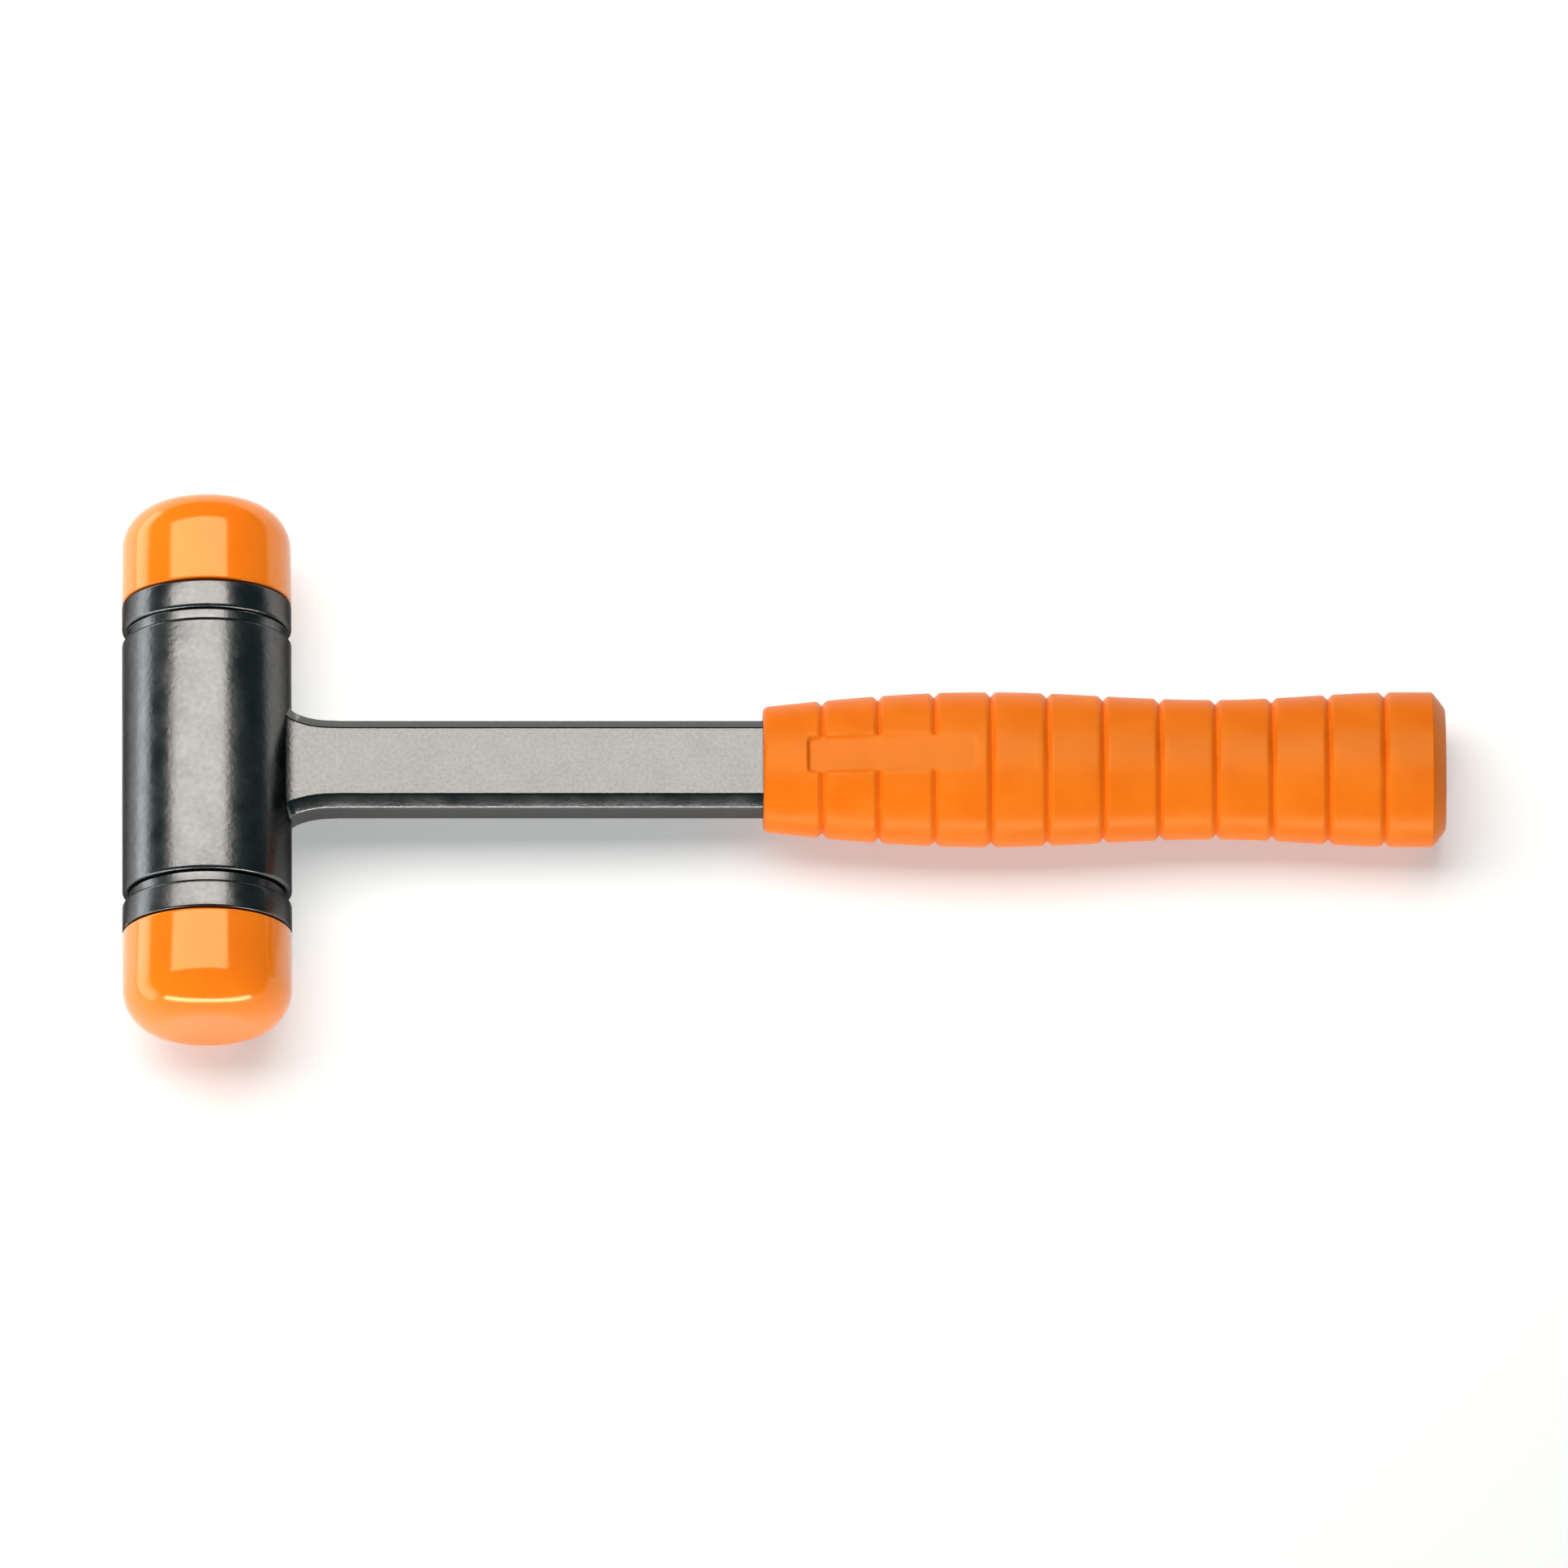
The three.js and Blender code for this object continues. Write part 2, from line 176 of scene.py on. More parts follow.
def rounded(corners):
    """A closed outline through corners of (x, y, radius), with each corner rounded to its radius."""
    outline = []
    for i, (x, y, radius) in enumerate(corners):
        corner = Vector((x, y))
        if radius == 0:
            outline.append((x, y))
            continue
        back = (Vector(corners[i - 1][:2]) - corner).normalized()
        ahead = (Vector(corners[(i + 1) % len(corners)][:2]) - corner).normalized()
        half = back.angle(ahead) / 2
        centre = corner + (back + ahead).normalized() * radius / math.sin(half)
        first = corner + back * radius / math.tan(half) - centre
        last = corner + ahead * radius / math.tan(half) - centre
        sweep = math.pi - 2 * half
        steps = max(4, round(radius * sweep / ARC_STEP))
        for k in range(steps + 1):
            share = k / steps
            from_first = math.sin((1 - share) * sweep) / math.sin(sweep)
            from_last = math.sin(share * sweep) / math.sin(sweep)
            outline.append(tuple(centre + first * from_first + last * from_last))
    return outline


def turned(outline, sides):
    """Points and faces of a closed outline of (radius, along) pairs, turned about the Y axis."""
    points = []
    rings = []
    for radius, along in outline:
        count = sides if radius > 0 else 1
        rings.append(range(len(points), len(points) + count))
        for i in range(count):
            turn = 2 * math.pi * i / sides
            points.append((radius * math.sin(turn), along, radius * math.cos(turn)))
    faces = []
    for ring, following in zip(rings, rings[1:] + rings[:1]):
        if len(ring) == 1 and len(following) == 1:
            continue
        for i in range(sides):
            j = i + 1
            corners = [
                ring[i % len(ring)],
                ring[j % len(ring)],
                following[j % len(following)],
                following[i % len(following)],
            ]
            faces.append(list(dict.fromkeys(corners)))
    return points, faces


def lofted(rings, closed):
    """Points and faces of a skin over rings of equally many points. It ends in caps, or closes on itself."""
    count = len(rings[0])
    points = [point for ring in rings for point in ring]
    starts = [i * count for i in range(len(rings))]
    pairs = list(zip(starts, starts[1:]))
    faces = []
    if closed:
        pairs.append((starts[-1], 0))
    else:
        faces.append(list(range(count)))
        faces.append(list(range(starts[-1], starts[-1] + count)))
    for ring, following in pairs:
        for i in range(count):
            j = (i + 1) % count
            faces.append([ring + i, ring + j, following + j, following + i])
    return points, faces


def moved_outwards(points, new_radius):
    """The points with each one's distance from the Y axis set by new_radius(radius, along, turn)."""
    moved = []
    for x, y, z in points:
        radius = math.hypot(x, z)
        if radius == 0:
            moved.append((x, y, z))
            continue
        turn = math.atan2(x, z)
        radius = new_radius(radius, y, turn)
        moved.append((radius * math.sin(turn), y, radius * math.cos(turn)))
    return moved


def front_from_rear(points):
    """The points turned half round the Z axis, which makes the front piece from the rear one."""
    return [(-x, -y, z) for x, y, z in points]


def about_head(points):
    """The points moved from the centre of the head to where the head lies."""
    return [(x + HEAD.x, y + HEAD.y, z + HEAD.z) for x, y, z in points]


# Pieces

def add_piece(name, points, faces, material, body, nodes):
    """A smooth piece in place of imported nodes, riding on a body."""
    mesh = bpy.data.meshes.new(name)
    mesh.from_pydata(points, [], faces)
    mesh.validate()
    outward(mesh)
    mesh.shade_smooth()
    mesh.set_sharp_from_angle(angle=CREASE_ANGLE)
    mesh.materials.append(material)
    piece = bpy.data.objects.new(name, mesh)
    bpy.context.collection.objects.link(piece)
    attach(piece, body)
    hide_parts(*nodes)


def outward(mesh):
    """Turns the faces of a closed mesh outwards."""
    shell = bmesh.new()
    shell.from_mesh(mesh)
    bmesh.ops.recalc_face_normals(shell, faces=shell.faces)
    shell.to_mesh(mesh)
    shell.free()


def add_at_both_ends(name, points, faces, material, body):
    """A rear piece drawn about the head's centre, and the front one like it.

    The body's name may hold {end}, which becomes rear or front.
    """
    for end, placed in (("rear", points), ("front", front_from_rear(points))):
        node = f"{end}_{name}"
        rides_on = body.format(end=end)
        add_piece(f"{node}_fine", about_head(placed), faces, material, rides_on, [node])


# Materials

# The range in which most of a noise texture's values lie
NOISE_RANGE = (0.3, 0.7)


class Finish:
    """A material with one Principled shader, and short ways to add what feeds it."""

    def __init__(self, name):
        self.material = bpy.data.materials.new(name)
        self.material.use_nodes = True
        self.tree = self.material.node_tree
        self.shader = self.tree.nodes["Principled BSDF"]
        self.place = self.tree.nodes.new("ShaderNodeTexCoord").outputs["Object"]

    def set(self, **values):
        for name, value in values.items():
            self.shader.inputs[name.replace("_", " ")].default_value = value

    def feed(self, source, name):
        self.tree.links.new(source, self.shader.inputs[name])

    def noise(self, size, detail=2, stretch=(1, 1, 1)):
        """Noise with blotches about size across, drawn out along the axes by stretch."""
        mapping = self.tree.nodes.new("ShaderNodeMapping")
        mapping.inputs["Scale"].default_value = [1 / (size * s) for s in stretch]
        self.tree.links.new(self.place, mapping.inputs["Vector"])
        texture = self.tree.nodes.new("ShaderNodeTexNoise")
        texture.inputs["Scale"].default_value = 1
        texture.inputs["Detail"].default_value = detail
        self.tree.links.new(mapping.outputs["Vector"], texture.inputs["Vector"])
        return texture.outputs["Fac"]

    def colours(self, noise_factor, low, high):
        """A colour ramp from low to high over the range in which noise mostly lies."""
        ramp = self.tree.nodes.new("ShaderNodeValToRGB")
        for element, position, colour in zip(ramp.color_ramp.elements, NOISE_RANGE, (low, high)):
            element.position = position
            element.color = (*colour, 1)
        self.tree.links.new(noise_factor, ramp.inputs["Fac"])
        return ramp.outputs["Color"]

    def level(self, factor, low, high, from_low=NOISE_RANGE[0], from_high=NOISE_RANGE[1]):
        """Brings a factor, noise unless its range is given, to between low and high."""
        span = self.tree.nodes.new("ShaderNodeMapRange")
        span.inputs["From Min"].default_value = from_low
        span.inputs["From Max"].default_value = from_high
        span.inputs["To Min"].default_value = low
        span.inputs["To Max"].default_value = high
        self.tree.links.new(factor, span.inputs["Value"])
        return span.outputs["Result"]

    def along_bends(self, colour, other, start, full):
        """The colour with another one along edges, as wear, or in hollows, as painted shade, in patches.

        A flat stretch has a bend of 0.5, an edge more and a hollow less. The other colour begins at the bend
        start and is strongest at the bend full.
        """
        bend = self.tree.nodes.new("ShaderNodeNewGeometry").outputs["Pointiness"]
        patches = self.level(self.noise(0.9 * MM, 3), 0.1, 0.9)
        share = self.tree.nodes.new("ShaderNodeMath")
        share.operation = "MULTIPLY"
        self.tree.links.new(self.level(bend, 0, 1, start, full), share.inputs[0])
        self.tree.links.new(patches, share.inputs[1])
        mix = self.tree.nodes.new("ShaderNodeMixRGB")
        mix.inputs["Color2"].default_value = (*other, 1)
        self.tree.links.new(share.outputs["Value"], mix.inputs["Fac"])
        self.tree.links.new(colour, mix.inputs["Color1"])
        return mix.outputs["Color"]

    def bump(self, *layers):
        """Raises the surface by (height, depth) layers, each over the last."""
        normal = None
        for height, depth in layers:
            bump = self.tree.nodes.new("ShaderNodeBump")
            bump.inputs["Distance"].default_value = depth
            self.tree.links.new(height, bump.inputs["Height"])
            if normal is not None:
                self.tree.links.new(normal, bump.inputs["Normal"])
            normal = bump.outputs["Normal"]
        self.feed(normal, "Normal")


def gunmetal(name, grain_size, brightness, roughness, glancing_tint):
    """Dark lacquered steel with a fine grain, worn to bare steel along its edges.

    The tint is how bright it stays where it is seen at a slant.
    """
    finish = Finish(name)
    grain = finish.noise(grain_size, 3)
    fleck = finish.noise(0.35 * MM, 2)
    cloud = finish.noise(6 * MM, 2)
    dark = [0.9 * brightness * share for share in (1, 1, 1.01)]
    light = [1.1 * brightness * share for share in (1, 0.97, 0.96)]
    colour = finish.colours(grain, dark, light)
    finish.feed(finish.along_bends(colour, BARE_STEEL, WEAR_START, WEAR_FULL), "Base Color")
    finish.feed(finish.level(cloud, 0.8 * roughness, 1.2 * roughness), "Roughness")
    finish.set(Metallic=1, Specular_Tint=(glancing_tint, glancing_tint, glancing_tint, 1))
    finish.bump((grain, 0.035 * grain_size), (fleck, 0.006 * MM))
    return finish.material


def bright_steel(name, streak):
    """Zinc-plated steel with faint marks of turning."""
    finish = Finish(name)
    lines = finish.noise(0.5 * MM, 3, streak)
    spots = finish.noise(2 * MM, 3)
    colour = finish.colours(spots, (0.46, 0.46, 0.45), (0.62, 0.62, 0.6))
    finish.feed(colour, "Base Color")
    finish.feed(finish.level(lines, 0.22, 0.4), "Roughness")
    finish.set(Metallic=1)
    finish.bump((lines, 0.01 * MM))
    return finish.material


def face_plastic():
    """Glossy orange polyurethane, a little see-through, with faint flow marks and scuffs."""
    finish = Finish("face_plastic")
    flow = finish.noise(14 * MM, 2)
    scuff = finish.noise(0.7 * MM, 4)
    colour = finish.colours(flow, (0.9, 0.19, 0.005), (0.94, 0.215, 0.008))
    finish.feed(colour, "Base Color")
    finish.feed(finish.level(scuff, 0.1, 0.18), "Roughness")
    finish.set(
        IOR=1.5,
        Specular_IOR_Level=0.7,
        Specular_Tint=(1, 1, 0.5, 1),
        Subsurface_Weight=0.25,
        Subsurface_Radius=(1, 0.35, 0.08),
        Subsurface_Scale=3 * MM,
    )
    finish.bump((flow, 0.05 * MM), (scuff, 0.002 * MM))
    return finish.material


def grip_rubber():
    """Satin orange moulding compound with a fine pebbled skin, with shade painted darker into its grooves."""
    finish = Finish("grip_rubber")
    tint = finish.noise(9 * MM, 3)
    pebble = finish.noise(0.3 * MM, 2)
    colour = finish.colours(tint, (0.81, 0.16, 0.006), (0.87, 0.19, 0.01))
    # Painted shade: a darker orange laid into the hollows of the grooves, where shade falls
    painted_groove_shade = finish.along_bends(colour, GROOVE_PAINTED_SHADE_ORANGE, GROOVE_PAINTED_SHADE_START, GROOVE_PAINTED_SHADE_FULL)
    finish.feed(painted_groove_shade, "Base Color")
    finish.feed(finish.level(tint, 0.32, 0.42), "Roughness")
    finish.set(IOR=1.48, Specular_IOR_Level=0.25, Specular_Tint=(1, 0.9, 0.4, 1))
    finish.bump((tint, 0.06 * MM), (pebble, 0.008 * MM))
    return finish.material


HEAD_STEEL = gunmetal("head_steel", 1.3 * MM, brightness=0.13, roughness=0.26, glancing_tint=0.25)
SHAFT_STEEL = gunmetal("shaft_steel", 0.7 * MM, brightness=0.112, roughness=0.2, glancing_tint=0.6)
STUD_STEEL = bright_steel("stud_steel", (6, 1, 6))
WASHER_STEEL = bright_steel("washer_steel", (1, 6, 1))
SHOT_STEEL = bright_steel("shot_steel", (1, 1, 1))
FACE_PLASTIC = face_plastic()
GRIP_RUBBER = grip_rubber()


# Head

def sleeve():
    outline = rounded([
        (BORE_RADIUS, -SLEEVE_END, STEEL_EDGE_RADIUS),
        (HEAD_RADIUS, -SLEEVE_END, GROOVE_EDGE_RADIUS),
        (HEAD_RADIUS, SLEEVE_END, GROOVE_EDGE_RADIUS),
        (BORE_RADIUS, SLEEVE_END, STEEL_EDGE_RADIUS),
    ])
    points, faces = turned(outline, HEAD_SIDES)
    add_piece("head_sleeve_fine", about_head(points), faces, HEAD_STEEL, "head", ["head_sleeve"])


def thread_rings(low, high):
    """Places along the axis at which a thread from low to high is drawn."""
    count = math.ceil((high - low) / THREAD_PITCH * RINGS_PER_PITCH)
    return [low + (high - low) * i / count for i in range(count + 1)]


def thread_wave(along, turn):
    """How far the thread stands out from its mean radius. It counts from the outer side of the plug."""
    phase = 2 * math.pi * (along - plug_high.y) / THREAD_PITCH - turn
    return THREAD_DEPTH / 2 * math.cos(phase)


def plugs():
    mean = (THREAD_DIAMETER - THREAD_DEPTH) / 2 + GAP
    outer_side = plug_high.y
    hole_bottom = stud_low.y - THREAD_END_ROOM
    rim_inner = SLEEVE_END + GROOVE_WIDTH
    collar_radius = HEAD_RADIUS - GROOVE_DEPTH
    collar_inner = SLEEVE_END + GAP
    spigot_radius = BORE_RADIUS - GAP
    hole = [(0, hole_bottom)]
    hole += [(mean, along) for along in thread_rings(hole_bottom, outer_side)]
    outside = rounded([
        (mean, outer_side, 0),
        (HEAD_RADIUS, outer_side, STEEL_EDGE_RADIUS),
        (HEAD_RADIUS, rim_inner, GROOVE_EDGE_RADIUS),
        (collar_radius, rim_inner, STEEL_EDGE_RADIUS / 2),
        (collar_radius, collar_inner, 0),
        (spigot_radius, collar_inner, 0),
        (spigot_radius, plug_low.y, STEEL_EDGE_RADIUS),
        (0, plug_low.y, 0),
    ])
    points, faces = turned(hole + outside[1:], HEAD_SIDES)

    def with_thread(radius, along, turn):
        return radius + thread_wave(along, turn) if radius < mean + GAP else radius

    add_at_both_ends("plug", moved_outwards(points, with_thread), faces, HEAD_STEEL, "head")


# Faces and what holds them

def faces_of_plastic():
    back = face_low.y
    tip = face_high.y
    recess_radius = washer_high.z - HEAD.z + GAP
    recess_floor = washer_high.y + GAP
    anchor_radius = ANCHOR_ACROSS_FLATS / math.sqrt(3) + GAP
    anchor_end = stud_high.y + GAP
    outline = rounded([
        (0, anchor_end, 0),
        (anchor_radius, anchor_end, 0),
        (anchor_radius, recess_floor, 0),
        (recess_radius, recess_floor, 0),
        (recess_radius, back, FACE_BACK_EDGE_RADIUS),
        (HEAD_RADIUS, back, FACE_BACK_EDGE_RADIUS),
        (HEAD_RADIUS, tip, FACE_EDGE_RADIUS),
        (0, tip, 0),
    ])
    points, faces = turned(outline, HEAD_SIDES)
    add_at_both_ends("face", points, faces, FACE_PLASTIC, "{end}_face_body")


def studs():
    mean = (THREAD_DIAMETER - THREAD_DEPTH) / 2
    anchor_start = washer_high.y + GAP
    apothem = ANCHOR_ACROSS_FLATS / 2
    outline = [(0, stud_low.y), (mean - STUD_CHAMFER, stud_low.y)]
    outline += [(mean, along) for along in thread_rings(stud_low.y + STUD_CHAMFER, anchor_start)]
    outline += [(apothem, anchor_start), (apothem, stud_high.y), (0, stud_high.y)]
    points, faces = turned(outline, STUD_SIDES)

    def thread_or_flats(radius, along, turn):
        if radius > (mean + apothem) / 2:
            from_flat = turn % (math.pi / 3) - math.pi / 6
            return radius / math.cos(from_flat)
        on_thread = radius > mean - STUD_CHAMFER / 2
        return radius + thread_wave(along, turn) if on_thread else radius

    placed = moved_outwards(points, thread_or_flats)
    add_at_both_ends("stud", placed, faces, STUD_STEEL, "{end}_face_body")


def washers():
    hole_radius = THREAD_DIAMETER / 2 + GAP
    outer_radius = washer_high.z - HEAD.z
    outline = rounded([
        (hole_radius, washer_low.y, WASHER_EDGE_RADIUS),
        (outer_radius, washer_low.y, WASHER_EDGE_RADIUS),
        (outer_radius, washer_high.y, WASHER_EDGE_RADIUS),
        (hole_radius, washer_high.y, WASHER_EDGE_RADIUS),
    ])
    points, faces = turned(outline, HEAD_SIDES)
    add_at_both_ends("washer", points, faces, WASHER_STEEL, "{end}_washer_body")


def shot():
    """Loose cast balls, each a little out of round in its own way."""
    for node in sorted(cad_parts):
        if not node.startswith("shot_"):
            continue
        low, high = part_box(node)
        centre = (low + high) / 2
        radius = (high.z - low.z) / 2
        half_turn = [math.pi * i / (SHOT_SIDES // 2) for i in range(SHOT_SIDES // 2 + 1)]
        outline = [(radius * math.sin(angle), -radius * math.cos(angle)) for angle in half_turn[1:-1]]
        points, faces = turned([(0, -radius), *outline, (0, radius)], SHOT_SIDES)
        placed = []
        for point in points:
            lumps = noise.noise(centre * 2000 + Vector(point) / radius * 2)
            dent = 1 - SHOT_ROUGHNESS / radius * (1 + lumps) / 2
            placed.append(tuple(centre + Vector(point) * dent))
        add_piece(f"{node}_fine", placed, faces, SHOT_STEEL, "shot_charge", [node])


# Handle

def shaft_section(across, up):
    """The shaft's outline as (y, z) pairs about its middle, grown sideways and upwards."""
    half_width = (shaft_high.y - shaft_low.y) / 2 + across
    half_thickness = (shaft_high.z - shaft_low.z) / 2 + up
    corners = []
    for side, top in ((1, -1), (1, 1), (-1, 1), (-1, -1)):
        on_side = (side * half_width, top * (half_thickness - SHAFT_CHAMFER), SHAFT_EDGE_RADIUS)
        on_top = (side * (half_width - SHAFT_CHAMFER), top * half_thickness, SHAFT_EDGE_RADIUS)
        corners += [on_top, on_side] if side != top else [on_side, on_top]
    return rounded(corners)


def shaft():
    """The tube, whose ends are hidden in the head and in the grip."""
    outer = shaft_section(0, 0)
    inner = shaft_section(-SHAFT_WALL, -SHAFT_WALL)
    stops = [
        (outer, shaft_low.x),
        (outer, shaft_low.x + SHAFT_END_BAND),
        (outer, shaft_high.x - SHAFT_END_BAND),
        (outer, shaft_high.x),
        (inner, shaft_high.x),
        (inner, shaft_low.x),
    ]
    rings = [[(x, y, z + HEAD.z) for y, z in section] for section, x in stops]
    points, faces = lofted(rings, closed=True)
    add_piece("shaft_fine", points, faces, SHAFT_STEEL, "head", ["shaft"])


def neck():
    """The shaft's outside swept up to the head, wider and wider, with a thin toe where it meets the steel.

    The higher the power of the share, the closer to the head the surface begins to leave the shaft.
    """
    def ring(share, across, up):
        placed = []
        for y, z in shaft_section(across, up):
            on_head = HEAD.x + math.sqrt(HEAD_RADIUS ** 2 - z ** 2) - NECK_SEAT
            placed.append((weld_high.x + (on_head - weld_high.x) * share, y, z + HEAD.z))
        return placed

    rings = [ring(0, -NECK_SEAT, -NECK_SEAT), ring(0, NECK_LIP, NECK_LIP)]
    for i in range(NECK_STEPS + 1):
        share = max(NECK_LIP / NECK_LENGTH, math.sin(math.pi / 2 * i / NECK_STEPS))
        across = NECK_LIP + NECK_FLARE * share ** 2.5 + NECK_TOE * share ** 20
        rings.append(ring(share, across, NECK_LIP + NECK_RISE * share ** 5))
    rings.append(ring(1, -NECK_SEAT, -NECK_SEAT))
    points, faces = lofted(rings, closed=True)
    add_piece("neck_weld_fine", points, faces, SHAFT_STEEL, "head", ["neck_weld"])


def grip_half_width(along):
    """Half the grip's width at a distance from its front end, leaving out the grooves."""
    def ease(start, end, share):
        return start + (end - start) * (1 - math.cos(math.pi * share)) / 2

    front = GRIP_FRONT_WIDTH / 2
    swell = GRIP_SWELL_WIDTH / 2
    waist = GRIP_WAIST_WIDTH / 2
    if along < GRIP_SWELL_AT:
        return front + (swell - front) * math.sin(math.pi / 2 * along / GRIP_SWELL_AT)
    if along < GRIP_WAIST_AT:
        return ease(swell, waist, (along - GRIP_SWELL_AT) / (GRIP_WAIST_AT - GRIP_SWELL_AT))
    share = (along - GRIP_WAIST_AT) / (GRIP_FULL_BUTT_AT - GRIP_WAIST_AT)
    return ease(waist, GRIP_BUTT_WIDTH / 2, min(1, share))


def groove_depth(along):
    """Depth of the grooves: a V with rounded shoulders."""
    nearest = min(abs(along - groove) for groove in GRIP_GROOVE_PLACES)
    inside = max(0, 1 - nearest / (GRIP_GROOVE_WIDTH / 2))
    return GRIP_GROOVE_DEPTH * inside ** 2 * (1.8 - 0.8 * inside)


def end_inset(along):
    """How far the grip draws in at its rounded front edge and its chamfered butt."""
    if along < GRIP_FRONT_RADIUS:
        return GRIP_FRONT_RADIUS - math.sqrt(GRIP_FRONT_RADIUS ** 2 - (GRIP_FRONT_RADIUS - along) ** 2)
    into_butt = (along - GRIP_LENGTH) / GRIP_BUTT_CHAMFER_LENGTH + 1
    return GRIP_BUTT_CHAMFER_DEPTH * max(0, into_butt) ** 1.2


def label_share(along, y):
    """1 on the floor of the label recess, 0 outside it, and in between on its sloping sides."""
    past_end = abs(along - LABEL_START - LABEL_LENGTH / 2) - LABEL_LENGTH / 2 + LABEL_CORNER_RADIUS
    past_side = abs(y) - LABEL_WIDTH / 2 + LABEL_CORNER_RADIUS
    to_edge = math.hypot(max(0, past_end), max(0, past_side)) - LABEL_CORNER_RADIUS
    to_edge += min(0, max(past_end, past_side))
    share = min(1, max(0, -to_edge / LABEL_WALL))
    return share * share * (3 - 2 * share)


def grip_stations():
    """Distances from the grip's front end at which its surface is drawn, closer where it bends."""
    stations = {GRIP_STEP * i for i in range(1, int(GRIP_LENGTH / GRIP_STEP))}
    for k in range(GRIP_BEND_STEPS + 1):
        share = k / GRIP_BEND_STEPS
        stations.add(GRIP_FRONT_RADIUS * (1 - math.cos(math.pi / 2 * share)))
        stations.add(GRIP_LENGTH - GRIP_BUTT_CHAMFER_LENGTH * share)
        stations.add(LABEL_START + LABEL_WALL * share)
        stations.add(LABEL_START + LABEL_LENGTH - LABEL_WALL * share)
        for groove in GRIP_GROOVE_PLACES:
            stations.add(groove - GRIP_GROOVE_WIDTH / 2 * share ** 1.4)
            stations.add(groove + GRIP_GROOVE_WIDTH / 2 * share ** 1.4)
    spread = [min(stations)]
    for station in sorted(stations):
        if station - spread[-1] > GRIP_LEAST_STEP:
            spread.append(station)
    return spread


def grip_ring(along):
    half_width = grip_half_width(along)
    half_thickness = half_width - GRIP_FLATTENING / 2
    along_label = min(1, max(0, (along - LABEL_START) / LABEL_LENGTH))
    label_floor = half_thickness - LABEL_DEPTH + (LABEL_DEPTH - LABEL_DEPTH_AT_END) * along_label
    ring = []
    for i in range(GRIP_TURN_STEPS):
        turn = 2 * math.pi * i / GRIP_TURN_STEPS
        on_top = math.sin(turn) > 0
        label = label_share(along, half_width * math.cos(turn)) if on_top else 0
        inset = end_inset(along) + groove_depth(along) * (1 - label)
        y = (half_width - inset) * math.cos(turn)
        z = (half_thickness - inset) * math.sin(turn)
        z += (label_floor - z) * label
        ring.append((grip_low.x + along, y, HEAD.z + z))
    return ring


def socket_ring(along):
    """A ring round the shaft with a point for each point of a grip ring."""
    half_width = (shaft_high.y - shaft_low.y) / 2 + GAP
    half_thickness = (shaft_high.z - shaft_low.z) / 2 + GAP
    ring = []
    for i in range(GRIP_TURN_STEPS):
        turn = 2 * math.pi * i / GRIP_TURN_STEPS
        across = abs(math.cos(turn))
        up = abs(math.sin(turn))
        on_chamfer = (across + up) / (half_width + half_thickness - SHAFT_CHAMFER)
        radius = 1 / max(across / half_width, up / half_thickness, on_chamfer)
        ring.append((grip_low.x + along, radius * math.cos(turn), HEAD.z + radius * math.sin(turn)))
    return ring


def grip():
    rings = [socket_ring(GRIP_SOCKET_DEPTH), socket_ring(0)]
    rings += [grip_ring(along) for along in grip_stations()]
    points, faces = lofted(rings, closed=False)
    add_piece("grip_fine", points, faces, GRIP_RUBBER, "head", ["grip"])


sleeve()
plugs()
faces_of_plastic()
studs()
washers()
shot()
shaft()
neck()
grip()


# Floor, lights and camera

def floor_material():
    """A pale floor that keeps the shadow. Seen straight or in a reflection, it is nearly white."""
    material = bpy.data.materials.new("floor")
    material.use_nodes = True
    nodes = material.node_tree.nodes
    links = material.node_tree.links
    nodes.remove(nodes["Principled BSDF"])
    matt = nodes.new("ShaderNodeBsdfDiffuse")
    matt.inputs["Color"].default_value = (FLOOR_WHITENESS, FLOOR_WHITENESS, FLOOR_WHITENESS, 1)
    glow = nodes.new("ShaderNodeEmission")
    glow.inputs["Color"].default_value = (1, 1, 1, 1)
    path = nodes.new("ShaderNodeLightPath")
    seen = path.outputs["Is Camera Ray"]
    for ray in ("Is Glossy Ray", "Is Transmission Ray"):
        either = nodes.new("ShaderNodeMath")
        either.operation = "MAXIMUM"
        links.new(seen, either.inputs[0])
        links.new(path.outputs[ray], either.inputs[1])
        seen = either.outputs["Value"]
    share = nodes.new("ShaderNodeMath")
    share.operation = "MULTIPLY"
    share.inputs[1].default_value = FLOOR_GLOW
    links.new(seen, share.inputs[0])
    links.new(share.outputs["Value"], glow.inputs["Strength"])
    both = nodes.new("ShaderNodeAddShader")
    links.new(matt.outputs["BSDF"], both.inputs[0])
    links.new(glow.outputs["Emission"], both.inputs[1])
    links.new(both.outputs["Shader"], nodes["Material Output"].inputs["Surface"])
    return material


def floor():
    """A flat floor that touches the head and the underside of the butt, so it leans a little."""
    slope = (grip_low.z - sleeve_low.z) / (GRIP_FULL_BUTT_AT + grip_low.x - HEAD.x)
    points = []
    for right, back in ((-1, -1), (1, -1), (1, 1), (-1, 1)):
        x = right * FLOOR_REACH
        points.append((x, back * FLOOR_REACH, sleeve_low.z + slope * (x - HEAD.x)))
    mesh = bpy.data.meshes.new("floor")
    mesh.from_pydata(points, [], [(0, 1, 2, 3)])
    mesh.materials.append(floor_material())
    ground = bpy.data.objects.new("floor", mesh)
    bpy.context.collection.objects.link(ground)


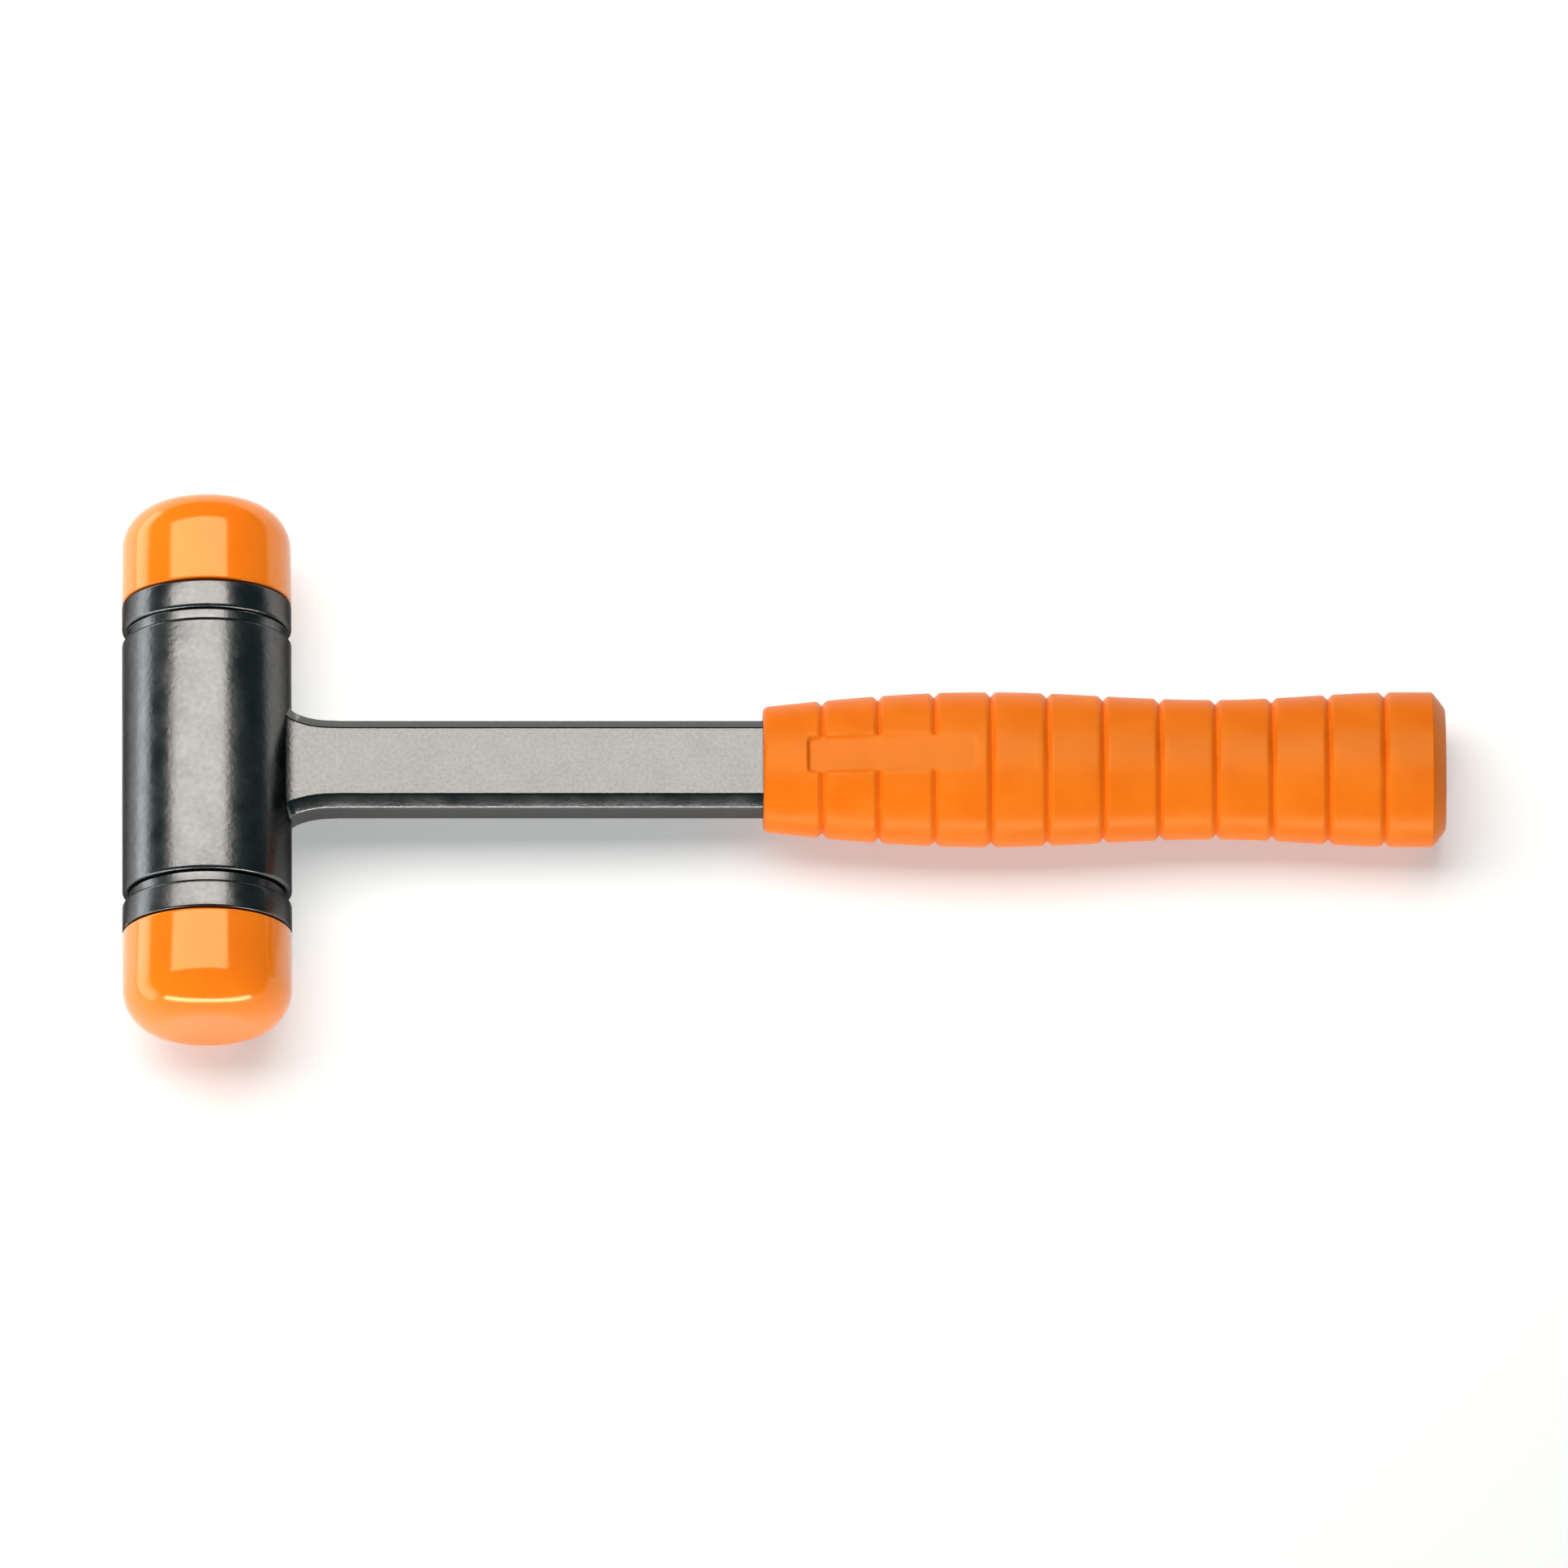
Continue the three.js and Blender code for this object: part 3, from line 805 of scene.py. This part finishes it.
def area_light(name, place, aim, size, radiance, colour):
    """A soft light of (width, height) metres that shines towards a point."""
    lamp = bpy.data.lights.new(name, "AREA")
    lamp.shape = "RECTANGLE"
    lamp.size, lamp.size_y = size
    lamp.energy = math.pi * radiance * size[0] * size[1]
    lamp.color = colour
    light = bpy.data.objects.new(name, lamp)
    light.location = place
    light.rotation_euler = (Vector(aim) - Vector(place)).to_track_quat("-Z", "Y").to_euler()
    light.visible_camera = False
    bpy.context.collection.objects.link(light)


def lights():
    area_light(
        "softbox",
        place=(-0.375, 0.325, 0.8),
        aim=(-0.375, 0.325, 0),
        size=(1.31, 0.65),
        radiance=4.8,
        colour=(1, 0.96, 0.91),
    )
    area_light(
        "front_strip",
        place=(-0.1, -0.9, 0.08),
        aim=(-0.1, 0, 0.08),
        size=(1.65, 0.15),
        radiance=13,
        colour=(1, 0.98, 0.95),
    )
    area_light(
        "left_strip",
        place=(-0.195, 0.02, 0.02),
        aim=(-0.1, 0.02, 0.02),
        size=(0.25, 0.03),
        radiance=2.5,
        colour=(0.85, 0.95, 1),
    )
    world = bpy.data.worlds.new("studio")
    world.use_nodes = True
    world.node_tree.nodes["Background"].inputs["Color"].default_value = (0.04, 0.09, 0.1, 1)
    bpy.context.scene.world = world


def camera():
    lens = bpy.data.cameras.new("camera")
    lens.sensor_width = SENSOR_WIDTH
    lens.lens = SENSOR_WIDTH * VIEW_DISTANCE / VIEW_WIDTH
    viewer = bpy.data.objects.new("camera", lens)
    level = Vector((math.sin(VIEW_AZIMUTH), -math.cos(VIEW_AZIMUTH), 0))
    upright = Vector((0, 0, 1))
    towards = level * math.cos(VIEW_ELEVATION) + upright * math.sin(VIEW_ELEVATION)
    handle = Vector((1, 0, 0))
    right = (handle - towards * towards.x).normalized()
    up = towards.cross(right)
    viewer.location = VIEW_AIM + towards * VIEW_DISTANCE
    viewer.rotation_euler = Matrix((right, up, towards)).transposed().to_euler()
    bpy.context.collection.objects.link(viewer)
    bpy.context.scene.camera = viewer


floor()
lights()
camera()
bpy.context.scene.view_settings.view_transform = "Standard"
